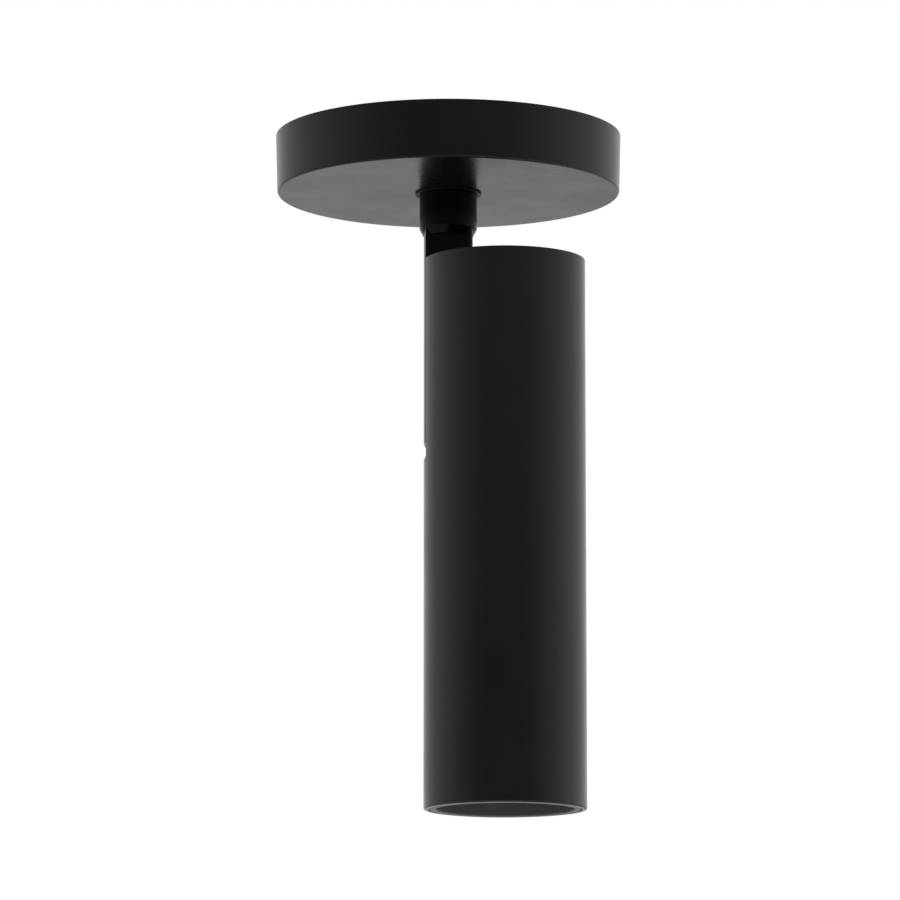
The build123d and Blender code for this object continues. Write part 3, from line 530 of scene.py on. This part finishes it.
def make_world():
    """Pale all round, and dark only low behind the camera. The walls behind the light are
    white in its reflections, and seen by themselves they are white all round."""
    world = bpy.data.worlds.new("studio")
    scene.world = world
    world.use_nodes = True
    world.node_tree.nodes.clear()
    graph = Graph(world.node_tree)
    direction = graph.node("ShaderNodeTexCoord").outputs["Generated"]
    parts = graph.node("ShaderNodeSeparateXYZ", {0: direction})
    back, up = parts.outputs["Y"], parts.outputs["Z"]
    front = graph.ranged(back, -DARK_SIDE_EDGE, 0.0, 1.0, 0.0)
    low = graph.ranged(graph.maths("ABSOLUTE", up), 0.0, DARK_SIDE_TOP, 1.0, 0.0)
    dark = graph.maths("MULTIPLY", front, low)
    lean = graph.ranged(parts.outputs["X"], -1.0, 1.0, 1.0 - SIDE_LEAN, 1.0 + SIDE_LEAN)
    walls = graph.maths("MULTIPLY", lean, graph.ranged(back, 0.0, 1.0, SIDE_LIGHT, BACK_LIGHT))
    studio = graph.maths("MULTIPLY", walls, graph.ranged(dark, 0.0, 1.0, 1.0, DARK_LIGHT))
    path = graph.node("ShaderNodeLightPath").outputs
    behind = graph.ranged(back, BACKDROP_EDGE - BACKDROP_BLEND, BACKDROP_EDGE, 0.0, 1.0)
    mirrored = graph.maths("MULTIPLY", path["Is Glossy Ray"], behind)
    light = graph.node("ShaderNodeMix", {0: mirrored, 2: studio, 3: 1.0},
                       data_type="FLOAT").outputs[0]
    seen = graph.maths("MAXIMUM", path["Is Camera Ray"], path["Is Transmission Ray"])
    room = graph.node("ShaderNodeBackground", {"Color": (1, 1, 1, 1), "Strength": light})
    white = graph.node("ShaderNodeBackground", {"Color": (1, 1, 1, 1), "Strength": 1.0})
    shown = graph.node("ShaderNodeMixShader", {0: seen, 1: room.outputs[0], 2: white.outputs[0]})
    graph.node("ShaderNodeOutputWorld", {"Surface": shown.outputs[0]})


def make_floor():
    """A pale floor far below, as bright as the walls where the camera sees it."""
    mesh = bpy.data.meshes.new("floor")
    half = FLOOR_HALF
    corners = [(-half, -half, 0), (half, -half, 0), (half, half, 0), (-half, half, 0)]
    mesh.from_pydata(corners, [], [(0, 1, 2, 3)])
    floor = bpy.data.objects.new("floor", mesh)
    floor.location = (0, 0, -FLOOR_DROP)
    scene.collection.objects.link(floor)
    made, graph, shader = material("pale_floor")
    graph.feed(shader.inputs["Base Color"], graph.mix(graph.noise(scale=3.0), *FLOOR_TONES))
    shader.inputs["Roughness"].default_value = 0.9
    seen = graph.node("ShaderNodeLightPath").outputs["Is Camera Ray"]
    graph.feed(shader.inputs["Emission Color"], (1.0, 1.0, 1.0, 1.0))
    graph.feed(shader.inputs["Emission Strength"], graph.maths("MULTIPLY", seen, FLOOR_GLOW))
    mesh.materials.append(made)


dress_cad_nodes()
make_capsule()
make_leads()
make_camera()
make_world()
make_floor()
